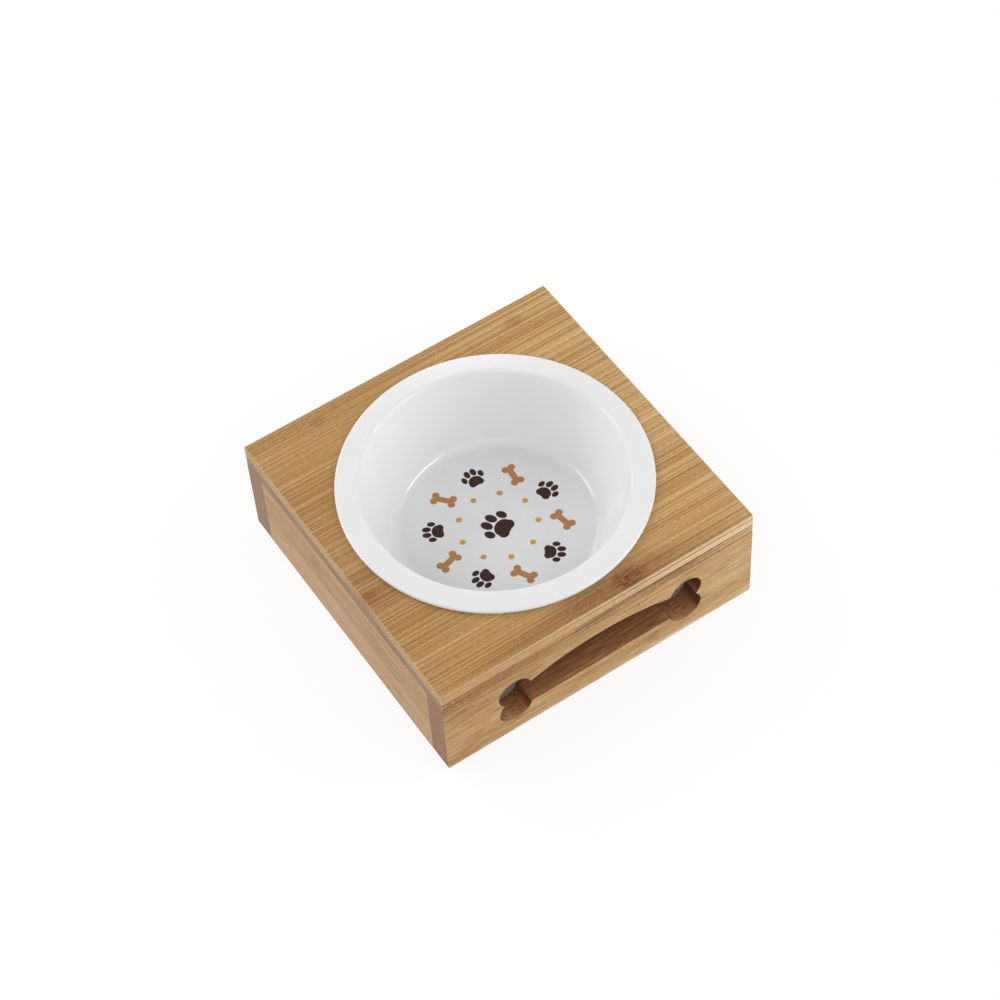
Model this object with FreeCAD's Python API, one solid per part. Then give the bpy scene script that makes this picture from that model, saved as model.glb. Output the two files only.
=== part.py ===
import FreeCAD, Part
import math
import os

# A flanged bowl hung loose in the round hole of a square bamboo stand.
# Millimetres, +Z up, origin on the floor under the middle of the stand, hand-hold front towards -Y.

# Bowl, a body of revolution that hangs by its flange
bowl_neck_radius = 78.0         # outside of the wall, where it meets the flange
bowl_wall = 4.5                 # thickness square to the wall
bowl_wall_lean = 19.5           # degrees from upright
bowl_hang = 42.0                # inner floor below the flange's underside
bowl_floor_thickness = 5.0
bowl_floor_fillet = 7.0         # inside, between floor and wall
bowl_base_fillet = 5.0          # outside, between base and wall
flange_seat = 6.9               # how far the flange lies on the wood
flange_thickness = 3.4          # at the mouth
flange_fall = 1.0               # drop of the flange's top towards its rim
flange_rim_radius = 1.1
mouth_lip_radius = 2.2
neck_fillet = 2.0               # under the flange
foot_ring_inset = 5.0           # in from the base's corner
foot_ring_width = 4.0           # where it leaves the base
foot_ring_height = 2.5
foot_ring_taper = 0.8           # by which each side of the ring narrows downwards

# Stand
hole_clearance = 0.5            # between the hole and the fillet under the flange
side_rail = 19.5                # least wood beside the hole, left and right
front_rail = 19.5               # least wood beside the hole, front and back
upper_layer_thickness = 8.0
lower_layer_thickness = 7.0
upright_height = 55.0
board_thickness = 15.0
edge_easing = 0.5               # chamfer sanded along the boards' edges

# Bone-shaped hand-hold, drawn about the middle of its board
lobe_radius = 10.2
lobe_spacing = 15.2             # between the upper and lower lobe of one end
handhold_end_margin = 19.2      # from a lobe to the inner face of the side board
grip_floor_drop = 9.8           # straight lower edge below the middle
grip_arch_height = 17.2         # crown of the arched upper edge above the middle
grip_arch_rise = 11.0           # crown above the arch's ends
handhold_easing = 0.4           # broken edge round the opening

# Dowels
dowel_radius = 3.0
dowel_chamfer = 0.8
dowel_clearance = 0.1           # round the dowel, for glue
dowel_end_gap = 0.5
dowel_cover = 5.5               # wood left over a blind hole
corner_dowel_reach = 15.0       # into the end of a side board
corner_dowel_spacing = 26.0
top_dowel_reach = 9.0           # into the upper edge of an upright
top_dowel_inset = 20.0          # from the corner, in the front and back boards
side_dowel_spacing = 80.0       # in the side boards

# Rubber pads
pad_thickness = 1.5
pad_margin = 1.5                # in from the faces of the board above
pad_inset = 16.0                # from the end of the board
pad_edge_chamfer = 0.4

# Levels and outlines that follow from those sizes
hole_radius = bowl_neck_radius + neck_fillet + hole_clearance
half_width = hole_radius + side_rail
half_depth = hole_radius + front_rail
clear_half_width = half_width - board_thickness
clear_half_depth = half_depth - board_thickness
uprights_bottom = pad_thickness
uprights_top = uprights_bottom + upright_height
uprights_middle = uprights_bottom + upright_height / 2
layers_joint = uprights_top + lower_layer_thickness
seat_level = layers_joint + upper_layer_thickness

up = FreeCAD.Vector(0, 0, 1)
along_depth = FreeCAD.Vector(0, 1, 0)
axis_foot = FreeCAD.Vector(0, 0, 0)
overrun = 1.0                   # by which a cutter passes the face that it opens


def rounded_profile(corners):
    """Closed face in the XZ plane through (x, z, radius) corners, each rounded by a tangent arc."""
    points = [FreeCAD.Vector(x, 0, z) for x, z, radius in corners]
    arrivals = []
    departures = []
    arc_middles = []
    for index, (x, z, radius) in enumerate(corners):
        corner = points[index]
        back = (points[index - 1] - corner).normalize()
        onward = (points[(index + 1) % len(points)] - corner).normalize()
        half_angle = back.getAngle(onward) / 2
        tangent_length = radius / math.tan(half_angle)
        arrivals.append(corner + back * tangent_length)
        departures.append(corner + onward * tangent_length)
        bisector = (back + onward).normalize()
        arc_middles.append(corner + bisector * (radius / math.sin(half_angle) - radius))
    edges = []
    for index, (x, z, radius) in enumerate(corners):
        if radius > 0:
            edges.append(Part.Arc(arrivals[index], arc_middles[index], departures[index]).toShape())
        following = arrivals[(index + 1) % len(points)]
        edges.append(Part.LineSegment(departures[index], following).toShape())
    return Part.Face(Part.Wire(edges))


def make_bowl():
    """Bowl revolved from its section: inner face, lip, flange, outer wall and foot ring."""
    lean = math.tan(math.radians(bowl_wall_lean))
    wall_across = bowl_wall / math.cos(math.radians(bowl_wall_lean))
    mouth_level = seat_level + flange_thickness
    rim_level = mouth_level - flange_fall
    floor_level = seat_level - bowl_hang
    base_level = floor_level - bowl_floor_thickness
    ring_level = base_level - foot_ring_height
    inner_neck_radius = bowl_neck_radius - wall_across
    mouth_radius = inner_neck_radius + flange_thickness * lean
    floor_radius = inner_neck_radius - bowl_hang * lean
    base_radius = bowl_neck_radius - (seat_level - base_level) * lean
    rim_radius = hole_radius + flange_seat
    ring_outer = base_radius - foot_ring_inset
    ring_inner = ring_outer - foot_ring_width
    section = rounded_profile([
        (0, floor_level, 0),
        (floor_radius, floor_level, bowl_floor_fillet),
        (mouth_radius, mouth_level, mouth_lip_radius),
        (rim_radius, rim_level, flange_rim_radius),
        (rim_radius, seat_level, flange_rim_radius),
        (bowl_neck_radius, seat_level, neck_fillet),
        (base_radius, base_level, bowl_base_fillet),
        (ring_outer, base_level, 0),
        (ring_outer - foot_ring_taper, ring_level, 0),
        (ring_inner + foot_ring_taper, ring_level, 0),
        (ring_inner, base_level, 0),
        (0, base_level, 0),
    ])
    return section.revolve(axis_foot, up, 360)


def make_board(x_span, y_span, z_span):
    """Rectangular board with every edge eased."""
    corner = FreeCAD.Vector(x_span[0], y_span[0], z_span[0])
    blank = Part.makeBox(x_span[1] - x_span[0], y_span[1] - y_span[0], z_span[1] - z_span[0], corner)
    return blank.makeChamfer(edge_easing, blank.Edges)


def make_top_layer(z_low, z_high):
    """One layer of the top, with the bowl's hole eased at both faces."""
    layer = make_board((-half_width, half_width), (-half_depth, half_depth), (z_low, z_high))
    hole = rounded_profile([
        (0, z_low - overrun, 0),
        (hole_radius + edge_easing + overrun, z_low - overrun, 0),
        (hole_radius, z_low + edge_easing, 0),
        (hole_radius, z_high - edge_easing, 0),
        (hole_radius + edge_easing + overrun, z_high + overrun, 0),
        (0, z_high + overrun, 0),
    ]).revolve(axis_foot, up, 360)
    return layer.cut(hole)


def handhold_outline(growth):
    """Bone outline in the XZ plane, grown by the given amount: four lobes and an arched grip."""
    lobe_x = clear_half_width - handhold_end_margin - lobe_radius
    crown = uprights_middle + grip_arch_height + growth
    arch_end = crown - grip_arch_rise
    floor = uprights_middle - grip_floor_drop - growth
    floor_left = FreeCAD.Vector(-lobe_x, 0, floor)
    floor_right = FreeCAD.Vector(lobe_x, 0, floor)
    arch_left = FreeCAD.Vector(-lobe_x, 0, arch_end)
    arch_right = FreeCAD.Vector(lobe_x, 0, arch_end)
    grip = Part.Face(Part.Wire([
        Part.LineSegment(floor_left, floor_right).toShape(),
        Part.LineSegment(floor_right, arch_right).toShape(),
        Part.Arc(arch_right, FreeCAD.Vector(0, 0, crown), arch_left).toShape(),
        Part.LineSegment(arch_left, floor_left).toShape(),
    ]))
    lobes = []
    for side in (-1, 1):
        for level in (-1, 1):
            centre = FreeCAD.Vector(side * lobe_x, 0, uprights_middle + level * lobe_spacing / 2)
            circle = Part.Circle(centre, -along_depth, lobe_radius + growth)
            lobes.append(Part.Face(Part.Wire(circle.toShape())))
    return grip.fuse(lobes).removeSplitter().Faces[0].OuterWire


def make_handhold_board(facing):
    """Front (facing -1) or back (facing 1) board, with the hand-hold cut through and its edges broken."""
    outer_face = facing * half_depth
    inner_face = facing * clear_half_depth
    y_span = sorted((outer_face, inner_face))
    board = make_board((-half_width, half_width), y_span, (uprights_bottom, uprights_top))
    opening = Part.Face(handhold_outline(0)).extrude(along_depth * board_thickness)
    opening.translate(along_depth * y_span[0])
    cutters = [opening]
    for face, outwards in zip(y_span, (-1, 1)):
        narrow = handhold_outline(0)
        narrow.translate(along_depth * (face - outwards * handhold_easing))
        flared = handhold_outline(handhold_easing + overrun)
        flared.translate(along_depth * (face + outwards * overrun))
        cutters.append(Part.makeLoft([narrow, flared], True, True))
    return board.cut(cutters)


def make_side_board(side):
    """Left (side -1) or right (side 1) board, butted between the front and back boards."""
    x_span = sorted((side * half_width, side * clear_half_width))
    return make_board(x_span, (-clear_half_depth, clear_half_depth), (uprights_bottom, uprights_top))


def make_dowel(joint, direction, reach_out, reach_in):
    """Dowel across a joint face and the blind hole that it sits in, along the given direction."""
    start = joint - direction * reach_in
    pin = Part.makeCylinder(dowel_radius, reach_in + reach_out, start, direction)
    ends = [edge for edge in pin.Edges if edge.isClosed() and isinstance(edge.Curve, Part.Circle)]
    hole_start = start - direction * dowel_end_gap
    hole_length = reach_in + reach_out + 2 * dowel_end_gap
    hole = Part.makeCylinder(dowel_radius + dowel_clearance, hole_length, hole_start, direction)
    return pin.makeChamfer(dowel_chamfer, ends), hole


def make_pad(x, y):
    """Round rubber pad with a chamfered lower edge, stuck under a board."""
    radius = board_thickness / 2 - pad_margin
    section = rounded_profile([
        (0, 0, 0),
        (radius - pad_edge_chamfer, 0, 0),
        (radius, pad_edge_chamfer, 0),
        (radius, pad_thickness, 0),
        (0, pad_thickness, 0),
    ])
    pad = section.revolve(axis_foot, up, 360)
    pad.translate(FreeCAD.Vector(x, y, 0))
    return pad


nodes = {
    "bowl": make_bowl(),
    "top_upper_layer": make_top_layer(layers_joint, seat_level),
    "top_lower_layer": make_top_layer(uprights_top, layers_joint),
    "front_board": make_handhold_board(-1),
    "back_board": make_handhold_board(1),
    "left_board": make_side_board(-1),
    "right_board": make_side_board(1),
}

upright_line_x = half_width - board_thickness / 2
upright_line_y = half_depth - board_thickness / 2
front_and_back = {"front": -1, "back": 1}
left_and_right = {"left": -1, "right": 1}
holes = []

# Two dowels in each butted corner, lying along Y
corner_reach_out = board_thickness - dowel_cover - dowel_end_gap
for row_name, facing in front_and_back.items():
    for side_name, side in left_and_right.items():
        pins = []
        for level in (-1, 1):
            height = uprights_middle + level * corner_dowel_spacing / 2
            joint = FreeCAD.Vector(side * upright_line_x, facing * clear_half_depth, height)
            pin, hole = make_dowel(joint, along_depth * facing, corner_reach_out, corner_dowel_reach)
            pins.append(pin)
            holes.append(hole)
        nodes[row_name + "_" + side_name + "_dowels"] = Part.makeCompound(pins)

# Two upright dowels between each board and the top
top_reach_out = upper_layer_thickness + lower_layer_thickness - dowel_cover - dowel_end_gap
top_dowel_places = {}
for row_name, facing in front_and_back.items():
    top_dowel_places[row_name] = [
        (side * (half_width - top_dowel_inset), facing * upright_line_y) for side in (-1, 1)
    ]
for side_name, side in left_and_right.items():
    top_dowel_places[side_name] = [
        (side * upright_line_x, end * side_dowel_spacing / 2) for end in (-1, 1)
    ]
for board_name, places in top_dowel_places.items():
    pins = []
    for x, y in places:
        joint = FreeCAD.Vector(x, y, uprights_top)
        pin, hole = make_dowel(joint, up, top_reach_out, top_dowel_reach)
        pins.append(pin)
        holes.append(hole)
    nodes[board_name + "_top_dowels"] = Part.makeCompound(pins)

# Blind holes for the dowels
for name in ("top_upper_layer", "top_lower_layer", "front_board", "back_board", "left_board", "right_board"):
    nodes[name] = nodes[name].cut(holes)

# Pads under the ends of the front and back boards
for row_name, facing in front_and_back.items():
    for side_name, side in left_and_right.items():
        pad = make_pad(side * (half_width - pad_inset), facing * upright_line_y)
        nodes[row_name + "_" + side_name + "_pad"] = pad

os.makedirs("parts", exist_ok=True)
for name, shape in nodes.items():
    solids = shape.Solids
    for solid in solids:
        if not solid.isValid():
            raise ValueError(name + " has an invalid solid")
    print(name, len(solids), "solid(s)", round(shape.Volume / 1000, 2), "cm3")
    result = solids[0] if len(solids) == 1 else Part.makeCompound(solids)
    result.exportStep("parts/" + name + ".step")
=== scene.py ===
import bpy
import numpy as np
from mathutils import Matrix, Vector


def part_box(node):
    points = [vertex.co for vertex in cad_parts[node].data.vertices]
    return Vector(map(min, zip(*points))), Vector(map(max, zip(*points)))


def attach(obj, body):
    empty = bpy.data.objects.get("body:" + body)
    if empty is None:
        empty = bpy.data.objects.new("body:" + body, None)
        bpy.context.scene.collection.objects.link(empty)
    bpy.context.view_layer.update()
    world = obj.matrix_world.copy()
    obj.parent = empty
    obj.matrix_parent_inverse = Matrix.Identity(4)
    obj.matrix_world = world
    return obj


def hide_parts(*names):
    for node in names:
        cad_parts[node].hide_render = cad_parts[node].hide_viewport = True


# A flanged ceramic bowl hung in a square bamboo stand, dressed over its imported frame.
# Sizes in the dictionaries are millimetres, colours are 8-bit display values.

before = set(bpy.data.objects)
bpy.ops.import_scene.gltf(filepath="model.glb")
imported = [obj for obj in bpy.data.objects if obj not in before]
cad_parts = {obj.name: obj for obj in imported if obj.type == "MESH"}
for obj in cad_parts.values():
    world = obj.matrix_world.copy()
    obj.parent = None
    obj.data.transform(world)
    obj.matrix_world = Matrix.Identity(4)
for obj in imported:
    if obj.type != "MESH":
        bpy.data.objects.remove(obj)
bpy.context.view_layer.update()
mm = 0.001
xAxis, yAxis, zAxis = 0, 1, 2


# display colour to the linear values that a shader takes
def colour(red, green, blue):
    display = np.array((red, green, blue)) / 255
    linear = np.where(display > 0.04045, ((display + 0.055) / 1.055) ** 2.4, display / 12.92)
    return (*linear.tolist(), 1.0)


# lowest and highest corner of a CAD node in millimetres
def nodeBox(node):
    return [np.array(corner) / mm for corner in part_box(node)]


# one number for each point of a mesh, for its material to read
def addLayer(mesh, key, values):
    layer = mesh.attributes.new(key, "FLOAT", "POINT")
    layer.data.foreach_set("value", values.astype(np.float32))


# Mesh over a grid of points, rows by columns. Columns close on themselves. Rows close as well, or else the
# first and the last row are each one point, a pole. Where the enclosed volume, the sum of a . (b x c) over
# the triangles, comes out negative, the faces are turned round.
def gridMesh(name, points, rowsClose, attributes=None):
    rows, columns = points.shape[:2]
    onward = np.roll(np.arange(columns), -1)
    ring = np.arange(rows * columns).reshape(rows, columns)
    vertices = points.reshape(-1, 3)
    keep = np.ones((rows, columns), bool)
    if rowsClose:
        low, high = ring, np.roll(ring, -1, axis=0)
        fans = np.empty((0, 3), int)
    else:
        keep[[0, -1], 1:] = False
        low, high = ring[1:-2], ring[2:-1]
        firstFan = np.stack([np.full(columns, ring[0, 0]), ring[1, onward], ring[1]], axis=-1)
        lastFan = np.stack([np.full(columns, ring[-1, 0]), ring[-2], ring[-2, onward]], axis=-1)
        fans = np.concatenate([firstFan, lastFan])
    quads = np.stack([low, low[:, onward], high[:, onward], high], axis=-1).reshape(-1, 4)
    triangles = np.concatenate([quads[:, [0, 1, 2]], quads[:, [0, 2, 3]], fans])
    a, b, c = vertices[triangles].transpose(1, 0, 2)
    if np.einsum("ij,ij->", a, np.cross(b, c)) < 0:
        quads, fans = quads[:, ::-1], fans[:, ::-1]
    kept = keep.ravel()
    renumber = np.cumsum(kept) - 1
    faces = renumber[quads].tolist() + renumber[fans].tolist()
    mesh = bpy.data.meshes.new(name)
    mesh.from_pydata((vertices[kept] * mm).tolist(), [], faces)
    mesh.polygons.foreach_set("use_smooth", np.ones(len(mesh.polygons), bool))
    for key, values in (attributes or {}).items():
        addLayer(mesh, key, np.broadcast_to(values, (rows, columns)).ravel()[kept])
    mesh.update()
    piece = bpy.data.objects.new(name, mesh)
    bpy.context.scene.collection.objects.link(piece)
    return piece


faceLook = {"start": 0.6, "span": 0.3, "wornAndHighlightStart": 0.15, "wornAndHighlightSpan": 0.4}


# What kind of face each point is on, read from the size of its normal's parts: endGrain is 1 where it points
# along the grain, edgeGrain where it points across the board's face, and the third share on eased edges,
# where the second largest part is large too. The bamboo paints eased edges paler with it, partly as wear and
# partly as a painted highlight.
def markFaces(piece, grainAxis, faceAxis):
    mesh = piece.data
    normals = np.empty(len(mesh.vertices) * 3, np.float32)
    mesh.vertex_normals.foreach_get("vector", normals)
    parts = np.abs(normals.reshape(-1, 3))
    edgeAxis = 3 - grainAxis - faceAxis
    second = np.sort(parts, axis=1)[:, 1]
    shares = {
        "endGrain": (parts[:, grainAxis] - faceLook["start"]) / faceLook["span"],
        "edgeGrain": (parts[:, edgeAxis] - faceLook["start"]) / faceLook["span"],
        "worn": (second - faceLook["wornAndHighlightStart"]) / faceLook["wornAndHighlightSpan"],
    }
    for key, share in shares.items():
        addLayer(mesh, key, np.clip(share, 0, 1))


# the piece moves with its body, stands for its node and takes the given finish
def dress(piece, body, node, material):
    piece.data.materials.append(material)
    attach(piece, body)
    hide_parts(node)


# Open section through corners (radius, level, rounding). Each corner becomes an arc that touches both of its
# sides, drawn about a centre on their bisector. The straight runs get a row close to each arc, so that they
# shade flat.
def roundedSection(corners, arcSteps=9, margin=0.25):
    points, rounding = np.array(corners, float)[:, :2], np.array(corners, float)[:, 2:]
    sides = np.diff(points, axis=0)
    lengths = np.linalg.norm(sides, axis=1, keepdims=True)
    ahead, back = (sides / lengths)[1:], -(sides / lengths)[:-1]
    half = np.arccos(np.clip(np.sum(ahead * back, axis=1, keepdims=True), -1, 1)) / 2
    reach = np.pad(rounding[1:-1] / np.tan(half), ((1, 1), (0, 0)))
    spare = np.minimum(margin, (lengths - reach[1:] - reach[:-1]) / 3)
    bisector = (ahead + back) / np.linalg.norm(ahead + back, axis=1, keepdims=True)
    middle = points[1:-1] + bisector * rounding[1:-1] / np.sin(half)
    start = points[1:-1] + back * reach[1:-1] - middle
    end = points[1:-1] + ahead * reach[1:-1] - middle
    bend = np.pi - 2 * half
    turn = np.linspace(0, 1, arcSteps)[None, :, None] * bend[:, None]
    across = (end - start * np.cos(bend)) / np.sin(bend)
    arcs = middle[:, None] + start[:, None] * np.cos(turn) + across[:, None] * np.sin(turn)
    before = arcs[:, :1] + (back * spare[:-1])[:, None]
    after = arcs[:, -1:] + (ahead * spare[1:])[:, None]
    rows = np.concatenate([before, arcs, after], axis=1).reshape(-1, 2)
    return np.concatenate([points[:1], rows, points[-1:]])


# Section (radius, level) turned once round the upright axis through (x, y)
def turnedSurface(section, columns, x=0.0, y=0.0):
    turn = np.linspace(0, 2 * np.pi, columns, endpoint=False)
    radius, level = section[:, :1], section[:, 1:]
    levels = np.broadcast_to(level, (len(section), columns))
    return np.stack([x + radius * np.cos(turn), y + radius * np.sin(turn), levels], axis=-1)


# Quarter turn over an eased edge, as insets from the side and drops from the face: (e - e sin, e - e cos)
def easedQuarter(easing, steps=5):
    turn = np.linspace(0, np.pi / 2, steps)
    return easing * (1 - np.sin(turn)), easing * (1 - np.cos(turn))


# Rows of a board's section from the middle of its upper face over both outer edges to the lower face, each
# an inset from the outline and a level. Rows a little beyond each eased edge keep the flat faces flat.
def outerRows(low, high, easeHigh, easeLow, margin=0.12):
    insetHigh, dropHigh = easedQuarter(easeHigh)
    insetLow, dropLow = easedQuarter(easeLow)
    side = [high - easeHigh - margin, low + easeLow + margin]
    inset = np.concatenate([[easeHigh + margin], insetHigh, [0, 0], insetLow[::-1], [easeLow + margin]])
    level = np.concatenate([[high], high - dropHigh, side, (low + dropLow)[::-1], [low]])
    return inset, level


# Rectangle drawn counterclockwise from the start of its lower side: straight runs, and corners that are
# quarter turns about centres one corner radius in from both sides. An inset draws every point inwards.
def rectangleOutline(halfWide, halfHigh, corner, inset, sideSteps, cornerSteps=4):
    stretches = []
    for quarter in range(4):
        turn = quarter * np.pi / 2
        along = np.array((np.cos(turn), np.sin(turn)))
        out = np.array((np.sin(turn), -np.cos(turn)))
        halfRun, halfOut = (halfWide, halfHigh) if quarter % 2 == 0 else (halfHigh, halfWide)
        run = np.linspace(-(halfRun - corner), halfRun - corner, sideSteps)[:-1, None]
        stretches.append(along * run + out * (halfOut - inset))
        bend = np.linspace(0, np.pi / 2, cornerSteps, endpoint=False)[:, None]
        centre = along * (halfRun - corner) + out * (halfOut - corner)
        arc = out * np.cos(bend) + along * np.sin(bend)
        stretches.append(centre + arc * max(corner - inset, 0.01))
    return np.concatenate(stretches)


# the two axes of a board's outline
def planarAxes(thicknessAxis):
    return [axis for axis in (xAxis, yAxis, zAxis) if axis != thicknessAxis]


# outline points and a level as places in space, with the board's thickness along the given axis
def standUp(outline, level, thicknessAxis):
    places = np.empty((len(outline), 3))
    places[:, planarAxes(thicknessAxis)] = outline
    places[:, thicknessAxis] = level
    return places


# Plain board: its outline shrinks to one point in the middle of each face
def plainBoard(name, box, thicknessAxis, look):
    planar = planarAxes(thicknessAxis)
    low, high = box
    centre, half = (low + high)[planar] / 2, (high - low)[planar] / 2
    inset, level = outerRows(low[thicknessAxis], high[thicknessAxis], look["easing"], look["easing"])

    def ringRow(rowInset, rowLevel):
        outline = rectangleOutline(*half, look["corner"], rowInset, look["sideSteps"]) + centre
        return standUp(outline, rowLevel, thicknessAxis)

    rows = [ringRow(rowInset, rowLevel) for rowInset, rowLevel in zip(inset, level)]
    firstPole = np.broadcast_to(standUp(centre[None], level[0], thicknessAxis), rows[0].shape)
    lastPole = np.broadcast_to(standUp(centre[None], level[-1], thicknessAxis), rows[0].shape)
    return gridMesh(name, np.stack([firstPole, *rows, lastPole]), rowsClose=False)


# Board round an opening: the section goes over the outer edges, back along the lower face, up the opening's
# wall and over its eased edges. The attribute cutWall is 1 on that wall and fades out over the eased edges.
def openBoard(name, low, high, thicknessAxis, outer, inner, easeHigh, easeLow, easeHole):
    inset, level = outerRows(low, high, easeHigh, easeLow)
    rows = [standUp(outer(i), w, thicknessAxis) for i, w in zip(inset, level)]
    holeInset, holeLevel = outerRows(low, high, easeHole, easeHole)
    wall = np.clip(1 - holeInset / easeHole, 0, 1)
    rows += [standUp(inner(i), w, thicknessAxis) for i, w in zip(holeInset[::-1], holeLevel[::-1])]
    cutWall = np.concatenate([np.zeros(len(inset)), wall[::-1]])[:, None]
    return gridMesh(name, np.stack(rows), rowsClose=True, attributes={"cutWall": cutWall})


# Wraps a socket, so that an expression on values adds its Math nodes
class Flow:
    def __init__(self, tree, socket=None):
        self.tree, self.socket = tree, socket

    # any node: its settings are set first, then the values or links of its sockets
    def node(self, kind, settings=None, sockets=None, output=0):
        made = self.tree.nodes.new("ShaderNode" + kind)
        for key, value in (settings or {}).items():
            if key == "stops":
                ramp = made.color_ramp.elements
                for extra in range(len(value) - len(ramp)):
                    ramp.new(0.5)
                for element, (position, shade) in zip(ramp, value):
                    element.position, element.color = position, shade
            else:
                setattr(made, key, value)
        for key, value in (sockets or {}).items():
            if isinstance(value, Flow):
                self.tree.links.new(value.socket, made.inputs[key])
            else:
                made.inputs[key].default_value = value
        return Flow(self.tree, made.outputs[output])

    def math(self, operation, *values):
        return self.node("Math", {"operation": operation}, dict(enumerate(values)))

    def __add__(self, other):
        return self.math("ADD", self, other)

    def __radd__(self, other):
        return self.math("ADD", other, self)

    def __sub__(self, other):
        return self.math("SUBTRACT", self, other)

    def __rsub__(self, other):
        return self.math("SUBTRACT", other, self)

    def __mul__(self, other):
        return self.math("MULTIPLY", self, other)

    def __rmul__(self, other):
        return self.math("MULTIPLY", other, self)

    def __pow__(self, other):
        return self.math("POWER", self, other)

    def __abs__(self):
        return self.math("ABSOLUTE", self)

    # 0 below start, 1 above end and a smooth step between; start above end turns it round
    def step(self, start, end):
        sockets = {"Value": self, 1: start, 2: end, 3: 0.0, 4: 1.0}
        return self.node("MapRange", {"interpolation_type": "SMOOTHSTEP"}, sockets)

    # noise on a place whose three values are each divided by the size of a grain in that direction
    def noise(self, place, sizes, detail=2.0, shift=0.0):
        scaled = [value * (1 / size) for value, size in zip(place, sizes)]
        spot = self.node("CombineXYZ", sockets={0: scaled[0] + shift, 1: scaled[1], 2: scaled[2]})
        sockets = {"Vector": spot, "Scale": 1.0, "Detail": detail}
        return self.node("TexNoise", {"noise_dimensions": "3D"}, sockets)

    # distance to the nearest of points strewn over a plane, about one in each square of the given size
    def cells(self, first, second, size):
        spot = self.node("CombineXYZ", sockets={0: first * (1 / size), 1: second * (1 / size)})
        settings = {"voronoi_dimensions": "2D", "feature": "F1"}
        return self.node("TexVoronoi", settings, {"Vector": spot, "Scale": 1.0})

    # a fixed random value for each whole number
    def chance(self, index):
        return self.node("TexWhiteNoise", {"noise_dimensions": "1D"}, {"W": index})

    def mix(self, factor, first, second):
        settings = {"data_type": "RGBA", "blend_type": "MIX", "clamp_factor": True}
        return self.node("Mix", settings, {0: factor, 6: first, 7: second}, output=2)

    def attribute(self, name):
        return self.node("Attribute", {"attribute_name": name}, output=2)

    # object place in millimetres, as three values
    def place(self):
        seen = self.node("TexCoord", output=3)
        split = self.node("SeparateXYZ", sockets={0: seen}).socket.node
        return [Flow(self.tree, split.outputs[axis]) * 1000.0 for axis in range(3)]


# new material with one Principled shader, and the flow that its nodes come from
def newMaterial(name):
    material = bpy.data.materials.new(name)
    material.use_nodes = True
    tree = material.node_tree
    return material, Flow(tree), tree.nodes["Principled BSDF"]


# fixed numbers go on the shader's own sockets, what varies is linked
def finishShader(flow, shader, values):
    for key, value in values.items():
        if isinstance(value, Flow):
            flow.tree.links.new(value.socket, shader.inputs[key])
        else:
            shader.inputs[key].default_value = value


# What a finish takes unless it says otherwise
bambooPlain = {
    "drift": 0.0,  # change of tone per millimetre along the grain
    # painted light: cut walls paler towards the outer face, darker deep in the opening
    "cutLightOutward": 0.0,  # change of a cut wall's tone per millimetre towards the outer face
    # darker on cut walls that cross the grain: partly end grain, partly painted shade
    "cutEndGrainAndShade": 0.0,  # how much darker a cut wall is where it crosses the grain
    # painted light: cut walls paler below this level
    "cutLitBelow": None,  # level below which a cut wall gets paler
    "edgeMarks": 1.0,  # share of a node mark that shows on edges
    "marks": [],  # node marks as (along, across, half length, half width, strength)
}
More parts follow.
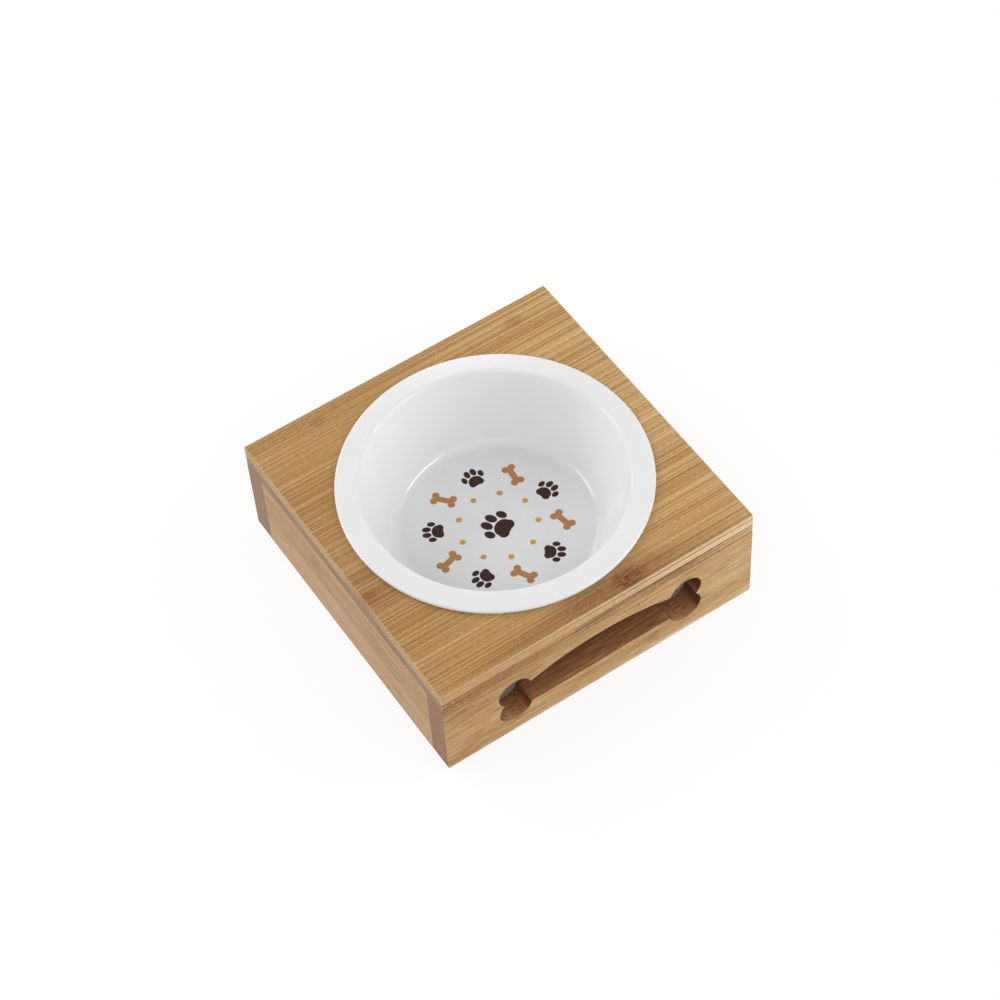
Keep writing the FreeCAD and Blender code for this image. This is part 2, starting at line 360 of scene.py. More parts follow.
# Each finish: darkest, middle and lightest colour of its faces, edges, sawn ends and cut walls, the cut
# walls' colours dark partly as cut wood and partly as painted shade in the openings; layers of grain as
# (length, width, tone); strips as (width, offset, tone); and what it changes of the plain values
bambooLook = {
    "top": {
        "along": xAxis, "across": yAxis, "shift": 3.1,
        "face": [(122, 75, 23), (175, 134, 79), (216, 184, 135)],
        "edge": [(106, 60, 4), (190, 150, 97), (240, 222, 192)],
        "end": [(156, 123, 78), (180, 147, 105), (192, 164, 130)],
        "cut": [(84, 54, 32), (120, 82, 48), (150, 108, 70)],
        "layers": [(240.0, 0.65, 0.84), (2.5, 0.5, 0.36), (110.0, 1.3, 0.1), (220.0, 4.0, 0.06),
                   (150.0, 14.0, 0.16)],
        "strips": (19.5, 4.0, 0.05), "drift": 0.0007, "edgeMarks": 0.15,
        "marks": [(8.0, -98.0, 110.0, 14.0, 0.44), (13.0, -92.0, 44.0, 14.0, 0.36),
                  (22.5, -94.5, 13.0, 8.0, 0.7), (20.0, -94.0, 7.5, 6.2, 0.85),
                  (-92.0, -24.0, 34.0, 22.0, 0.22), (-97.0, -25.0, 7.0, 6.0, 0.3),
                  (71.0, 88.0, 8.0, 5.0, 0.3), (-58.0, 91.0, 7.0, 4.0, 0.3)],
    },
    "under": {
        "along": xAxis, "across": yAxis, "shift": 17.9,
        "face": [(96, 60, 32), (156, 112, 70), (204, 160, 110)],
        "edge": [(105, 54, 6), (166, 122, 66), (216, 186, 146)],
        "end": [(104, 68, 38), (147, 113, 84), (180, 150, 132)],
        "cut": [(76, 48, 30), (104, 70, 44), (136, 96, 64)],
        "layers": [(80.0, 0.65, 1.2), (2.5, 0.5, 0.5), (60.0, 1.2, 0.45), (90.0, 4.0, 0.12),
                   (60.0, 18.0, 0.24)],
        "strips": (28.0, 9.0, 0.1), "drift": 0.0008,
        "marks": [(-4.0, -100.0, 18.0, 9.0, 0.45), (52.0, -100.0, 12.0, 6.0, 0.25),
                  (-60.0, 100.0, 14.0, 8.0, 0.4)],
    },
    "long": {
        "along": xAxis, "across": zAxis, "shift": 31.7,
        "face": [(126, 78, 11), (188, 149, 94), (222, 196, 170)],
        "edge": [(130, 88, 50), (186, 146, 98), (222, 186, 138)],
        "end": [(112, 79, 57), (143, 105, 75), (169, 130, 96)],
        "cut": [(92, 56, 30), (144, 95, 57), (190, 140, 94)],
        "layers": [(30.0, 0.65, 0.46), (11.0, 0.8, 0.56), (1.8, 0.5, 0.28), (24.0, 1.4, 0.16),
                   (60.0, 4.0, 0.08), (160.0, 16.0, 0.34)],
        # painted light and shade on the cut walls: paler outward and low down, darker across the grain,
        # partly as end grain
        "strips": (26.0, 21.0, 0.12), "drift": 0.0007, "cutLightOutward": 0.026, "cutEndGrainAndShade": 0.42, "cutLitBelow": 20.0,
        "marks": [(34.0, 11.2, 6.0, 5.0, 0.45), (-45.5, 44.3, 6.0, 3.5, 0.35),
                  (-80.0, 18.0, 5.0, 5.0, 0.2)],
    },
    "side": {
        "along": yAxis, "across": zAxis, "shift": 47.3,
        "face": [(145, 98, 40), (175, 136, 88), (198, 163, 129)],
        "edge": [(140, 104, 74), (182, 148, 112), (212, 182, 146)],
        "end": [(134, 110, 92), (158, 134, 114), (184, 160, 138)],
        "cut": [(84, 54, 34), (112, 74, 44), (140, 100, 66)],
        "layers": [(60.0, 0.8, 0.95), (9.0, 0.7, 0.6), (1.8, 0.6, 0.55), (80.0, 2.0, 0.2),
                   (120.0, 5.0, 0.1), (140.0, 12.0, 0.04)],
        "strips": (24.5, 22.0, 0.1),
        "marks": [(30.0, 40.0, 7.0, 6.0, 0.3), (-52.0, 14.0, 7.0, 5.0, 0.25)],
    },
    "dowel": {
        "along": zAxis, "across": xAxis, "shift": 61.1,
        "face": [(170, 128, 84), (211, 176, 130), (232, 204, 162)],
        "edge": [(170, 128, 84), (211, 176, 130), (232, 204, 162)],
        "end": [(176, 140, 100), (196, 164, 124), (214, 184, 146)],
        "cut": [(160, 124, 88), (176, 140, 100), (196, 160, 120)],
        "layers": [(14.0, 0.4, 0.3), (5.0, 0.3, 0.2), (30.0, 1.5, 0.2)],
        "strips": (40.0, 20.0, 0.05),
    },
}
# the back board is cut from another strip than the front board, with greyer ends
bambooLook["back"] = {
    **bambooLook["long"], "shift": 83.9,
    "end": [(114, 91, 70), (143, 115, 89), (170, 141, 112)],
    "marks": [(-28.0, 12.0, 6.0, 5.0, 0.4), (62.0, 45.0, 6.0, 3.5, 0.3)],
}
bambooShared = {
    "stops": (0.08, 0.5, 0.92),  # tones at which a ramp shows its three colours
    "sway": 0.5, "swaySize": (140.0, 30.0, 30.0),
    "glueLine": 0.14, "glueShare": 0.4,
    "mark": (104, 46, 9), "markStep": (1.0, 0.05), "speckSize": (2.6, 0.8, 0.8), "speckStep": (0.34, 0.62),
    # pale colour of eased edges, partly wear and partly a painted highlight along them
    "worn": (238, 212, 172), "wornAndHighlightShare": 0.3,
    "seam": (70, 42, 22), "seamShare": 0.75, "seamReach": (0.7, 0.4), "seamTop": 0.5,
    "endMiddle": 0.59, "endSpread": 0.4, "endStrip": 0.12, "endSize": (3.0, 1.1, 1.1),
    "fibreSize": 1.15, "fibreStep": (0.42, 0.2), "fibreTone": 0.34,
    # cut walls: middle tone, spreads of grain and ends, and the painted light per millimetre below the
    # finish's low level
    "cutMiddle": 0.47, "cutSpread": 0.9, "cutEndSpread": 0.5, "cutLitBelowTone": 0.03,
    "roughness": 0.45, "roughSpread": 0.2, "roughEnd": 0.15, "roughCut": 0.1, "specular": 0.25,
    "bumpDepth": 0.05 * mm, "bumpStrength": 0.3, "relief": (0.6, 0.4), "jointRelief": -0.8,
}
jointLevels = [float(nodeBox(name)[0][2]) for name in ("top_upper_layer", "top_lower_layer")]
jointDepth = float(nodeBox("left_board")[1][1])
boardMiddle = float(nodeBox("back_board")[0][1] + nodeBox("back_board")[1][1]) / 2


# Bamboo: a tone of one half, plus layers of noise drawn out along the grain, plus a tone for each glued
# strip, goes through a ramp of its own for faces and edges. Sawn ends take a tone of noise with a dark dot
# for each bundle of fibres. Cut walls take the grain's tone where they run along it and the ends' tone where
# they cross it, through a dark ramp that is partly cut wood and partly painted shade. They are darker where
# they cross the grain, partly as end grain and partly as painted shade, and paler towards the outer face and
# low down as painted light, as far as the finish says. Strip joints and speckled node marks, ellipses in the
# board's plane, darken the skin. Eased edges are painted paler, partly as wear and partly as a painted
# highlight, or dark where they meet another board, at the joints' levels and depth. The same noises give
# roughness and relief.
def bamboo(name, look):
    shared = bambooShared
    material, flow, shader = newMaterial(name)
    place = flow.place()
    depthAxis = 3 - look["along"] - look["across"]
    along, across, depth = here = [place[axis] for axis in (look["along"], look["across"], depthAxis)]
    sway = flow.noise(here, shared["swaySize"], 0.0, look["shift"]) - 0.5
    waved = (along, across + sway * shared["sway"], depth)
    grains = [flow.noise(waved, (length, width, width), 0.0, look["shift"] * (order + 1)) - 0.5
              for order, (length, width, strength) in enumerate(look["layers"])]

    stripWidth, stripOffset, stripTone = look["strips"]
    stripPlace = (across + stripOffset) * (1 / stripWidth)
    strip = flow.math("FLOOR", stripPlace)
    jointGap = abs(stripPlace - flow.math("ROUND", stripPlace)) * stripWidth
    joint = jointGap.step(shared["glueLine"] * 2, shared["glueLine"] * 0.5)
    tone = 0.5 + along * look["drift"] + (flow.chance(strip + look["shift"]) - 0.5) * stripTone * 2.0
    for grain, (length, width, strength) in zip(grains, look["layers"]):
        tone = tone + grain * strength

    def shades(key, value):
        stops = [(stop, colour(*shade)) for stop, shade in zip(shared["stops"], look[key])]
        return flow.node("ValToRGB", {"stops": stops}, {0: value})

    onEnd, onEdge, onCut, worn = (flow.attribute(key) for key in ("endGrain", "edgeGrain", "cutWall", "worn"))
    endNoise = flow.noise(here, shared["endSize"], 2.0, look["shift"]) - 0.5
    fibres = flow.cells(across, depth, shared["fibreSize"]).step(*shared["fibreStep"])
    endTone = (shared["endMiddle"] + endNoise * shared["endSpread"] - fibres * shared["fibreTone"]
               + (flow.chance(strip + look["shift"] * 5) - 0.5) * shared["endStrip"])
    face = flow.mix(joint * shared["glueShare"], shades("face", tone), colour(*look["face"][0]))
    skin = flow.mix(onEnd, flow.mix(onEdge, face, shades("edge", tone)), shades("end", endTone))

    speckle = flow.noise(here, shared["speckSize"], 2.0, look["shift"]).step(*shared["speckStep"])
    onFace = 1.0 - onEdge * (1.0 - look["edgeMarks"])
    for markAlong, markAcross, length, width, strength in look["marks"]:
        reach = ((along - markAlong) * (1 / length)) ** 2.0 + ((across - markAcross) * (1 / width)) ** 2.0
        mark = reach.step(*shared["markStep"]) * (1.0 - (1.0 - speckle) * strength) * strength * onFace
        skin = flow.mix(mark, skin, colour(*shared["mark"]))

    levelGap = flow.math("MINIMUM", *(abs(place[zAxis] - level) for level in jointLevels))
    aboveBoards = place[zAxis].step(jointLevels[1], jointLevels[1] + shared["seamTop"])
    cornerGap = abs(abs(place[yAxis]) - jointDepth) + aboveBoards
    # Eased edges are painted paler, partly as wear and partly as a painted highlight, and dark where they
    # meet another board
    seam = flow.math("MINIMUM", levelGap, cornerGap).step(*shared["seamReach"]) * worn
    skin = flow.mix((worn - seam) * shared["wornAndHighlightShare"], skin, colour(*shared["worn"]))
    skin = flow.mix(seam * shared["seamShare"], skin, colour(*shared["seam"]))

    # Painted light and shade on cut walls: paler towards the outer face and low down, darker where they cross
    # the grain, that partly as end grain
    paintedLightOutward = (abs(depth) - boardMiddle) * look["cutLightOutward"]
    cutTone = shared["cutMiddle"] + ((tone - 0.5) * shared["cutSpread"] + paintedLightOutward) * (1.0 - onEnd)
    cutTone = cutTone + (endTone - 0.5) * onEnd * shared["cutEndSpread"] - onEnd * onEnd * look["cutEndGrainAndShade"]
    if look["cutLitBelow"] is not None:
        cutTone = cutTone + flow.math("MAXIMUM", look["cutLitBelow"] - across, 0.0) * shared["cutLitBelowTone"]
    skin = flow.mix(onCut, skin, shades("cut", cutTone))

    broad, fine = shared["relief"]
    relief = grains[0] * broad + grains[1] * fine + joint * shared["jointRelief"]
    bumpSockets = {"Strength": shared["bumpStrength"], "Distance": shared["bumpDepth"], "Height": relief}
    bump = flow.node("Bump", sockets=bumpSockets)
    rough = (shared["roughness"] + grains[1] * shared["roughSpread"] + onEnd * shared["roughEnd"]
             + onCut * shared["roughCut"])
    finishShader(flow, shader, {"Base Color": skin, "Roughness": rough, "Normal": bump,
                                "Specular IOR Level": shared["specular"]})
    return material


bambooOf = {key: bamboo("bamboo_" + key, {**bambooPlain, **look}) for key, look in bambooLook.items()}
print("bamboo:", len(bambooOf), "finishes")

topLook = {"corner": 0.7, "edge": 0.5, "glued": 0.16, "hole": 0.4, "holeRadius": 80.5, "sideSteps": 40}


# Square round a circle: each point of the square's outline faces the circle's point in the same direction
def topLayer(name, easeHigh, easeLow):
    low, high = nodeBox(name)
    half = (high - low)[:2] / 2

    def square(inset):
        return rectangleOutline(*half, topLook["corner"], inset, topLook["sideSteps"])

    towards = square(0.0) / np.linalg.norm(square(0.0), axis=1, keepdims=True)

    def circle(growth):
        return towards * (topLook["holeRadius"] + growth)

    hole = topLook["hole"]
    layer = openBoard(name + "_wood", low[2], high[2], zAxis, square, circle, easeHigh, easeLow, hole)
    markFaces(layer, xAxis, zAxis)
    return layer


upperLayer = topLayer("top_upper_layer", topLook["edge"], topLook["glued"])
dress(upperLayer, "stand", "top_upper_layer", bambooOf["top"])
lowerLayer = topLayer("top_lower_layer", topLook["glued"], topLook["glued"])
dress(lowerLayer, "stand", "top_lower_layer", bambooOf["under"])
print("top: 2 layers,", len(upperLayer.data.vertices), "points each")

handholdLook = {
    "corner": 0.7, "easing": 0.25, "edge": 0.4,
    "lobeRadius": 10.2, "lobeRise": 7.6, "lobeX": 55.6,
    "floorDrop": 9.8, "archHeight": 17.2, "archRise": 11.0,
    "floorSteps": 40, "archSteps": 48, "runSteps": 20, "bendSteps": 5, "climbSteps": 15,
}
lobeSteps = handholdLook["runSteps"] + handholdLook["bendSteps"] + handholdLook["climbSteps"]


# points on a circle about a centre, at the given turns
def circlePoints(centre, radius, turn):
    return centre + radius * np.stack([np.cos(turn), np.sin(turn)], axis=-1)


# Bone outline about the board's middle, grown into the wood: a straight floor, two lobes at each end and a
# flat arch. A lobe's arc runs from the floor or arch to the notch where both lobes of that end meet, so all
# corners are points. The arch's radius is (half span squared + rise squared) / twice the rise.
def boneOutline(growth):
    look = handholdLook
    radius = look["lobeRadius"] + growth
    lobe = np.array((look["lobeX"], look["lobeRise"]))
    floor = -look["floorDrop"] - growth
    crown = look["archHeight"] + growth
    archRadius = (lobe[0] ** 2 + look["archRise"] ** 2) / (2 * look["archRise"])
    archCentre = np.array((0.0, crown - archRadius))
    notch = np.arcsin(lobe[1] / radius)
    floorTurn = np.pi - np.arcsin((floor + lobe[1]) / radius)
    apart = np.linalg.norm(lobe - archCentre)
    lean = np.arctan2(*(lobe - archCentre)[::-1])
    opening = np.arccos((apart ** 2 + radius ** 2 - archRadius ** 2) / (2 * apart * radius))
    archTurn = lean + np.pi - opening
    floorEnd = lobe[0] + radius * np.cos(floorTurn)
    archEnd = circlePoints(lobe, radius, archTurn)

    lowerTurn = np.linspace(floorTurn, 2 * np.pi + notch, lobeSteps, endpoint=False)
    lowerLobe = circlePoints(lobe * (1, -1), radius, lowerTurn)
    upperTurn = np.linspace(-notch, archTurn, lobeSteps, endpoint=False)
    upperLobe = circlePoints(lobe, radius, upperTurn)
    floorRun = np.linspace(-floorEnd, floorEnd, look["floorSteps"], endpoint=False)
    floorLine = np.stack([floorRun, np.full(len(floorRun), floor)], axis=-1)
    archLean = np.arctan2(*(archEnd - archCentre)[::-1])
    archSweep = np.linspace(archLean, np.pi - archLean, look["archSteps"], endpoint=False)
    arch = circlePoints(archCentre, archRadius, archSweep)
    notchPoint = np.array([(lobe[0] + radius * np.cos(notch), 0.0)])
    upperLeft = np.concatenate([archEnd[None], upperLobe[:0:-1]]) * (-1, 1)
    lowerLeft = np.concatenate([notchPoint, lowerLobe[:0:-1]]) * (-1, 1)
    return np.concatenate([floorLine, lowerLobe, upperLobe, arch, upperLeft, lowerLeft])


# Board's outline in step with the bone's: below the floor and above the arch its points stand straight under
# and over the bone's. Beside the lobes they run on to the corner, round it and along the end to its middle.
def boneBoardOutline(half, inset):
    look = handholdLook
    bone = boneOutline(0.0)
    floorLine = bone[:look["floorSteps"]] * (1, 0) - (0, half[1] - inset)
    archStart = look["floorSteps"] + 2 * lobeSteps
    archLine = bone[archStart:archStart + look["archSteps"]] * (1, 0) + (0, half[1] - inset)
    corner = look["corner"]
    bend = np.linspace(0, np.pi / 2, look["bendSteps"])

    def aroundCorner(startX):
        run = np.linspace(startX, half[0] - corner, look["runSteps"], endpoint=False)
        runPart = np.stack([run, np.full(len(run), -half[1] + inset)], axis=-1)
        bendWay = np.stack([np.sin(bend), -np.cos(bend)], axis=-1)
        bendPart = (half[0] - corner, -half[1] + corner) + (corner - inset) * bendWay
        climb = np.linspace(-half[1] + corner, 0, look["climbSteps"] + 2)[1:]
        climbPart = np.stack([np.full(len(climb), half[0] - inset), climb], axis=-1)
        return np.concatenate([runPart, bendPart, climbPart])

    lower = aroundCorner(-floorLine[0, 0])
    upper = aroundCorner(archLine[0, 0]) * (1, -1)
    lowerRight, upperRight = lower[:-1], upper[:0:-1]
    upperLeft, lowerLeft = upper[:-1] * (-1, 1), lower[:0:-1] * (-1, 1)
    return np.concatenate([floorLine, lowerRight, upperRight, archLine, upperLeft, lowerLeft])


# Upright board round the bone, both outlines carried to the middle of the board's node
def handholdBoard(name):
    low, high = nodeBox(name)
    centre, half = (low + high)[[0, 2]] / 2, (high - low)[[0, 2]] / 2

    def outline(inset):
        return boneBoardOutline(half, inset) + centre

    def bone(growth):
        return boneOutline(growth) + centre

    easing, edge = handholdLook["easing"], handholdLook["edge"]
    board = openBoard(name + "_wood", low[1], high[1], yAxis, outline, bone, easing, easing, edge)
    markFaces(board, xAxis, yAxis)
    return board


for name, finish in (("front_board", "long"), ("back_board", "back")):
    dress(handholdBoard(name), "stand", name, bambooOf[finish])
print("hand-hold boards: 2")

sideLook = {"corner": 0.4, "easing": 0.2, "sideSteps": 24}

for name in ("left_board", "right_board"):
    sideBoard = plainBoard(name + "_wood", nodeBox(name), xAxis, sideLook)
    markFaces(sideBoard, yAxis, xAxis)
    dress(sideBoard, "stand", name, bambooOf["side"])
print("side boards: 2")

bowlLook = {
    "neckRadius": 78.0, "wall": 4.5, "lean": 19.5, "hang": 42.0, "floor": 5.0,
    "flange": 3.4, "fall": 1.0, "lip": 2.2, "rim": 1.1,
    "floorFillet": 7.0, "neckFillet": 2.0, "baseFillet": 5.0,
    "ringInset": 5.0, "ringWidth": 4.0, "ringHeight": 2.5, "ringTaper": 0.8, "ringRound": 0.5,
    "columns": 320,
    "glaze": (230, 230, 231), "cloudSize": 38.0, "cloudDepth": 4, "rippleSize": 16.0,
    "bisque": (214, 203, 188), "bareTop": (0.9, 0.5), "bareRough": 0.55,
    "gritSize": 0.6, "gritDepth": 22, "gritRelief": 2.0,
    "roughness": 0.11, "roughSpread": 0.06, "specular": 0.25, "bumpDepth": 0.12 * mm, "bumpStrength": 0.25,
}
printLook = {
    "brown": (52, 18, 10), "tan": (180, 125, 70), "mustard": (204, 155, 52),
    "above": (0.7, 0.4), "below": (1.2, 0.9),  # how far from the floor's level the print fades out
    "ringRadius": 36.0, "ringCells": 10, "ringPhase": 0.03, "pawSize": 6.6, "boneSize": 5.4, "tilt": 0.9,
    "dotRadius": 22.5, "dotCells": 9, "dotPhase": 0.07, "dotSize": 1.7, "dotSoft": 0.15,
    "centrePaw": 9.5, "centreTurn": 0.55,
    # ovals of a paw as (side, ahead, half width, half length) in paw sizes: three for the pad, then four toes
    "pawOvals": [(0.0, -0.30, 0.62, 0.50), (-0.34, -0.52, 0.34, 0.32), (0.34, -0.52, 0.34, 0.32),
                 (-0.80, 0.18, 0.24, 0.34), (-0.29, 0.62, 0.26, 0.38), (0.29, 0.62, 0.26, 0.38),
                 (0.80, 0.18, 0.24, 0.34)],
    # in bone sizes
    "knobSide": 0.36, "knobAhead": 0.95, "knobRadius": 0.4, "barHalf": 0.34,
    "inkEdge": (1.12, 0.9),
}
bowlSeat = nodeBox("top_upper_layer")[1][2]
bowlFloor = bowlSeat - bowlLook["hang"]


# Bowl: its section, from the middle of the floor up the leaning wall, over lip and flange, down the outside
# and over the foot ring to the middle of the base, turned round the axis
def makeBowl():
    look = bowlLook
    lean = np.tan(np.radians(look["lean"]))
    innerNeck = look["neckRadius"] - look["wall"] / np.cos(np.radians(look["lean"]))
    flangeTop = bowlSeat + look["flange"]
    baseLevel = bowlFloor - look["floor"]
    rimRadius = nodeBox("bowl")[1][0]
    baseRadius = look["neckRadius"] - (bowlSeat - baseLevel) * lean
    ringOuter = baseRadius - look["ringInset"]
    ringInner = ringOuter - look["ringWidth"]
    ringLevel = baseLevel - look["ringHeight"]
    section = roundedSection([
        (0, bowlFloor, 0),
        (innerNeck - look["hang"] * lean, bowlFloor, look["floorFillet"]),
        (innerNeck + look["flange"] * lean, flangeTop, look["lip"]),
        (rimRadius, flangeTop - look["fall"], look["rim"]),
        (rimRadius, bowlSeat, look["rim"]),
        (look["neckRadius"], bowlSeat, look["neckFillet"]),
        (baseRadius, baseLevel, look["baseFillet"]),
        (ringOuter, baseLevel, look["ringRound"]),
        (ringOuter - look["ringTaper"], ringLevel, look["ringRound"]),
        (ringInner + look["ringTaper"], ringLevel, look["ringRound"]),
        (ringInner, baseLevel, look["ringRound"]),
        (0, baseLevel, 0),
    ])
    return gridMesh("bowl_glazed", turnedSurface(section, look["columns"]), rowsClose=False)


# Paw: 1 inside a broad pad or one of four toes, each an ellipse where its squared reach is under 1
def pawMask(flow, side, ahead, size):
    nearest = None
    for middleSide, middleAhead, halfSide, halfAhead in printLook["pawOvals"]:
        reach = (((side * (1 / size) - middleSide) * (1 / halfSide)) ** 2.0
                 + ((ahead * (1 / size) - middleAhead) * (1 / halfAhead)) ** 2.0)
        nearest = reach if nearest is None else flow.math("MINIMUM", nearest, reach)
    return nearest.step(*printLook["inkEdge"])


# Bone: 1 inside a bar or one of the four knobs at its ends, folded into one quarter by absolute values
def boneMask(flow, side, ahead, size):
    look = printLook
    sideways, lengthways = abs(side) * (1 / size), abs(ahead) * (1 / size)
    knob = (((sideways - look["knobSide"]) * (1 / look["knobRadius"])) ** 2.0
            + ((lengthways - look["knobAhead"]) * (1 / look["knobRadius"])) ** 2.0)
    bar = flow.math("MAXIMUM", sideways * (1 / look["barHalf"]), lengthways * (1 / look["knobAhead"]))
    return flow.math("MINIMUM", knob, bar ** 2.0).step(*look["inkEdge"])


# Cells of a ring: the angle is cut into equal sectors, and each sector's middle at the ring's radius is a new
# origin, with one direction across and one away from the bowl's middle, turned by chance up to the tilt
def ringCell(flow, x, y, radius, cells, phase, tilt):
    reach = (x * x + y * y) ** 0.5
    sector = (flow.math("ARCTAN2", y, x) * (1 / (2 * np.pi)) + 0.5 + phase) * cells
    index = flow.math("FLOOR", sector)
    swing = (sector - index - 0.5) * (2 * np.pi / cells)
    ahead, side = reach * flow.math("COSINE", swing) - radius, reach * flow.math("SINE", swing)
    turn = (flow.chance(flow.math("MODULO", index, cells)) - 0.5) * tilt * 2.0
    cosTurn, sinTurn = flow.math("COSINE", turn), flow.math("SINE", turn)
    return index, side * cosTurn - ahead * sinTurn, side * sinTurn + ahead * cosTurn


# Glaze: near white with a faint cloud, paws, bones and dots printed in rings on the floor, and a bare foot
# ring. The print's mask is 1 from a little below the floor's level to a little above it.
def glazedCeramic():
    look, ink = bowlLook, printLook
    material, flow, shader = newMaterial("glazed_ceramic")
    x, y, z = here = flow.place()
    cloud = flow.noise(here, (look["cloudSize"],) * 3, 2.0)
    dimGlaze = colour(*(value - look["cloudDepth"] for value in look["glaze"]))
    skin = flow.mix(cloud, colour(*look["glaze"]), dimGlaze)
    underTop = z.step(*(bowlFloor + gap for gap in ink["above"]))
    onFloor = underTop * z.step(*(bowlFloor - gap for gap in ink["below"]))

    pictureRing = (ink["ringRadius"], ink["ringCells"], ink["ringPhase"], ink["tilt"])
    index, side, ahead = ringCell(flow, x, y, *pictureRing)
    everySecond = flow.math("PINGPONG", index, 1.0)
    paws = pawMask(flow, side, ahead, ink["pawSize"]) * everySecond
    bones = boneMask(flow, side, ahead, ink["boneSize"]) * (1.0 - everySecond)
    dotRing = (ink["dotRadius"], ink["dotCells"], ink["dotPhase"], 0.0)
    dotSide, dotAhead = ringCell(flow, x, y, *dotRing)[1:]
    dotReach = (dotSide * dotSide + dotAhead * dotAhead) ** 0.5
    dots = dotReach.step(ink["dotSize"] + ink["dotSoft"], ink["dotSize"] - ink["dotSoft"])
    cosTurn, sinTurn = float(np.cos(ink["centreTurn"])), float(np.sin(ink["centreTurn"]))
    centrePaw = pawMask(flow, x * cosTurn + y * sinTurn, y * cosTurn - x * sinTurn, ink["centrePaw"])
    for mask, shade in ((bones, "tan"), (dots, "mustard"), (paws, "brown"), (centrePaw, "brown")):
        skin = flow.mix(mask * onFloor, skin, colour(*ink[shade]))

    ringLevel = float(nodeBox("bowl")[0][2])
    bare = z.step(*(ringLevel + rise for rise in look["bareTop"]))
    grit = flow.noise(here, (look["gritSize"],) * 3, 3.0)
    dimBisque = colour(*(value - look["gritDepth"] for value in look["bisque"]))
    skin = flow.mix(bare, skin, flow.mix(grit, colour(*look["bisque"]), dimBisque))
    ripple = flow.noise(here, (look["rippleSize"],) * 3, 2.0)
    bumpSockets = {"Strength": look["bumpStrength"], "Distance": look["bumpDepth"],
                   "Height": ripple + bare * grit * look["gritRelief"]}
    bump = flow.node("Bump", sockets=bumpSockets)
    rough = look["roughness"] + (cloud - 0.5) * look["roughSpread"] + bare * look["bareRough"]
    finishShader(flow, shader, {"Base Color": skin, "Roughness": rough, "Normal": bump,
                                "Specular IOR Level": look["specular"]})
    return material


bowl = makeBowl()
dress(bowl, "bowl", "bowl", glazedCeramic())
print("bowl:", len(bowl.data.vertices), "points")

padLook = {
    "edge": 0.4, "upperEdge": 0.1, "columns": 48,
    "rubber": (44, 43, 42), "worn": (74, 72, 70), "gritSize": 0.5, "gritStep": (0.45, 0.75),
    "roughness": 0.75, "roughSpread": 0.2, "bumpDepth": 0.1 * mm, "bumpStrength": 0.4,
}


# Rubber: dark grey, paler where the fine grit of its noise stands up
def padRubber():
    look = padLook
    material, flow, shader = newMaterial("pad_rubber")
    grit = flow.noise(flow.place(), (look["gritSize"],) * 3, 3.0)
    skin = flow.mix(grit.step(*look["gritStep"]), colour(*look["rubber"]), colour(*look["worn"]))
    bumpSockets = {"Strength": look["bumpStrength"], "Distance": look["bumpDepth"], "Height": grit}
    bump = flow.node("Bump", sockets=bumpSockets)
    rough = look["roughness"] + (grit - 0.5) * look["roughSpread"]
    finishShader(flow, shader, {"Base Color": skin, "Roughness": rough, "Normal": bump})
    return material


# Pad: a low disc, its section turned round the middle of its node
def makePad(name):
    low, high = nodeBox(name)
    radius, (x, y) = (high - low)[0] / 2, (low + high)[:2] / 2
    corners = [(0, low[2], 0), (radius, low[2], padLook["edge"]), (radius, high[2], padLook["upperEdge"]),
               (0, high[2], 0)]
    section = roundedSection(corners, arcSteps=5, margin=0.05)
    return gridMesh(name + "_rubber", turnedSurface(section, padLook["columns"], x, y), rowsClose=False)


rubber = padRubber()
pads = [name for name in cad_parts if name.endswith("_pad")]
for name in pads:
    dress(makePad(name), "stand", name, rubber)
dowels = [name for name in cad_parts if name.endswith("_dowels")]
for name in dowels:
    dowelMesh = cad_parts[name].data
    dowelMesh.materials.clear()
    dowelMesh.materials.append(bambooOf["dowel"])
print("pads:", len(pads), "dowel nodes:", len(dowels))

# Lamps face the object: (azimuth from the front, elevation, distance, width, height, watts). The wide boxes
# are left out of gloss, where they would whiten the flange. The lines show in gloss alone, as bright lines in
# the bowl's fillet, and hang so high that the flange doesn't mirror them in a low view.
stageLook = {
    "floorSize": 24000.0, "paper": 0.8, "skyLight": 0.385,
    "paperNear": 0.82, "paperUnder": 0.04,  # white part of the paper beside the stand and under it
    "underFade": (8.0, 4.0),  # how far inside the stand's edge under turns into beside
    "awayStart": 15.0, "awayEnd": 2.4,  # beside turns into far away, from outside the edge to half widths
    "lamps": {
        "wide_right": (60.0, 25.0, 1100.0, 2000.0, 960.0, 11.2),
        "wide_left": (226.0, 26.0, 1300.0, 2600.0, 1200.0, 11.2),
        "wide_back": (195.0, 30.0, 1300.0, 900.0, 300.0, 4.6),
        "near_box": (330.0, 40.0, 1100.0, 1000.0, 700.0, 3.3),
        "line_right": (49.0, 46.0, 1100.0, 800.0, 110.0, 9.5),
        "line_left": (217.0, 47.0, 1300.0, 500.0, 130.0, 5.2),
        "line_back": (165.0, 40.0, 1300.0, 900.0, 110.0, 2.4),
    },
}
cameraLook = {
    "azimuth": -30.22, "elevation": 53.72, "roll": -4.31,
    "lens": 97.05, "sensor": 36.0, "clip": (0.05, 100.0), "place": (-438.89, -757.31, 1245.91),
}


# 1 for what the camera sees directly, in a gloss or through glass
def seenRay(flow):
    path = flow.node("LightPath").socket.node
    keys = ("Is Camera Ray", "Is Glossy Ray", "Is Transmission Ray")
    direct, glossy, through = (Flow(flow.tree, path.outputs[key]) for key in keys)
    return flow.math("MAXIMUM", flow.math("MAXIMUM", direct, glossy), through)


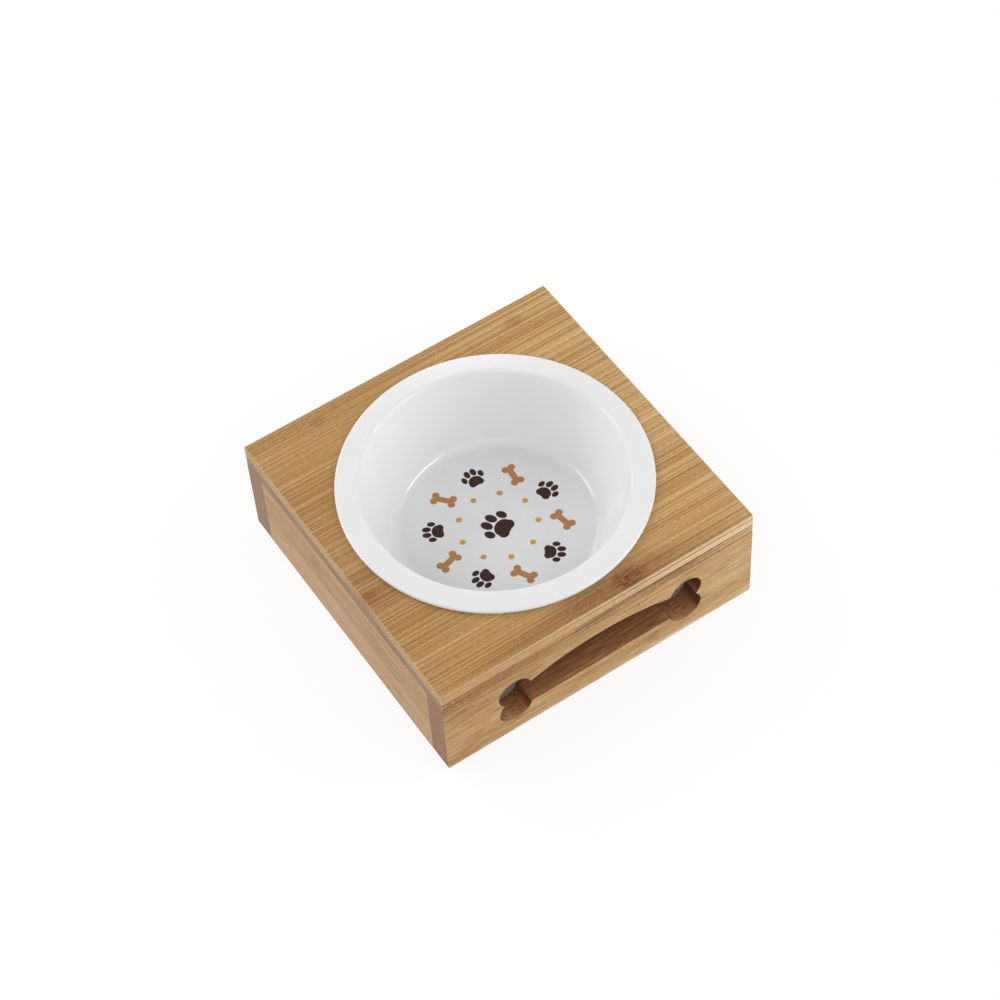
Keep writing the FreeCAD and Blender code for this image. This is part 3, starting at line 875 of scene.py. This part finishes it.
# Paper floor: part of what is seen of it is plain white, so that shadows stay faint. That part is small under
# the stand, larger beside it and the whole far away.
def makeFloor():
    look = stageLook
    reach = look["floorSize"] / 2 * mm
    corners = [(-reach, -reach, 0), (reach, -reach, 0), (reach, reach, 0), (-reach, reach, 0)]
    mesh = bpy.data.meshes.new("floor")
    mesh.from_pydata(corners, [], [(0, 1, 2, 3)])
    material, flow = newMaterial("floor_paper")[:2]
    x, y = flow.place()[:2]
    half = float(nodeBox("top_upper_layer")[1][0])
    reachOut = flow.math("MAXIMUM", abs(x), abs(y))
    beside = reachOut.step(*(half - inside for inside in look["underFade"]))
    away = reachOut.step(half + look["awayStart"], half * look["awayEnd"])
    share = (look["paperUnder"] + beside * (look["paperNear"] - look["paperUnder"])
             + away * (1.0 - look["paperNear"]))
    seen = seenRay(flow)
    white = (1, 1, 1, 1)
    paper = flow.mix(seen, (look["paper"],) * 3 + (1,), white)
    matt = flow.node("BsdfDiffuse", sockets={"Color": paper})
    glow = flow.node("Emission", sockets={"Color": white, "Strength": 1.0})
    both = flow.node("MixShader", sockets={0: share * seen, 1: matt, 2: glow})
    flow.tree.links.new(both.socket, flow.tree.nodes["Material Output"].inputs["Surface"])
    mesh.materials.append(material)
    floor = bpy.data.objects.new("floor", mesh)
    bpy.context.scene.collection.objects.link(floor)


# unit vector from the object towards an azimuth, counted from the front to the right, and an elevation, both
# in degrees
def wayOut(azimuth, elevation):
    turn, climb = np.radians(azimuth), np.radians(elevation)
    return Vector((np.sin(turn) * np.cos(climb), -np.cos(turn) * np.cos(climb), np.sin(climb)))


# World and lamps: the sky lights the object at a level of its own and is seen as white. Each lamp stands on
# the way out to its azimuth and elevation and looks back along it.
def makeLight():
    world = bpy.data.worlds.new("studio")
    world.use_nodes = True
    flow = Flow(world.node_tree)
    level = stageLook["skyLight"] + seenRay(flow) * (1.0 - stageLook["skyLight"])
    background = world.node_tree.nodes["Background"]
    background.inputs["Color"].default_value = (1, 1, 1, 1)
    flow.tree.links.new(level.socket, background.inputs["Strength"])
    bpy.context.scene.world = world
    for name, (azimuth, elevation, distance, width, height, watts) in stageLook["lamps"].items():
        lamp = bpy.data.lights.new(name, "AREA")
        lamp.shape = "RECTANGLE"
        lamp.size, lamp.size_y = width * mm, height * mm
        lamp.energy = watts
        box = bpy.data.objects.new(name, lamp)
        towards = wayOut(azimuth, elevation)
        facing = towards.to_track_quat("Z", "Y").to_matrix().to_4x4()
        box.matrix_world = Matrix.Translation(towards * distance * mm) @ facing
        box.visible_glossy = not name.startswith("wide")
        box.visible_diffuse = not name.startswith("line")
        bpy.context.scene.collection.objects.link(box)


# Camera: azimuth and elevation give the way back from the object, roll turns the picture about that way
def makeCamera():
    roll = np.radians(cameraLook["roll"])
    back = wayOut(cameraLook["azimuth"], cameraLook["elevation"])
    right = Vector((0, 0, 1)).cross(back).normalized()
    over = back.cross(right)
    rolledRight = right * np.cos(roll) + over * np.sin(roll)
    rolledOver = over * np.cos(roll) - right * np.sin(roll)
    data = bpy.data.cameras.new("camera")
    data.lens = cameraLook["lens"]
    data.sensor_width, data.sensor_fit = cameraLook["sensor"], "HORIZONTAL"
    data.clip_start, data.clip_end = cameraLook["clip"]
    camera = bpy.data.objects.new("camera", data)
    turn = Matrix((rolledRight, rolledOver, back)).transposed().to_4x4()
    camera.matrix_world = Matrix.Translation(Vector(cameraLook["place"]) * mm) @ turn
    bpy.context.scene.collection.objects.link(camera)
    bpy.context.scene.camera = camera


makeFloor()
makeLight()
makeCamera()
bpy.context.scene.view_settings.view_transform = "Standard"
print("stage: floor,", len(stageLook["lamps"]), "lamps and camera")
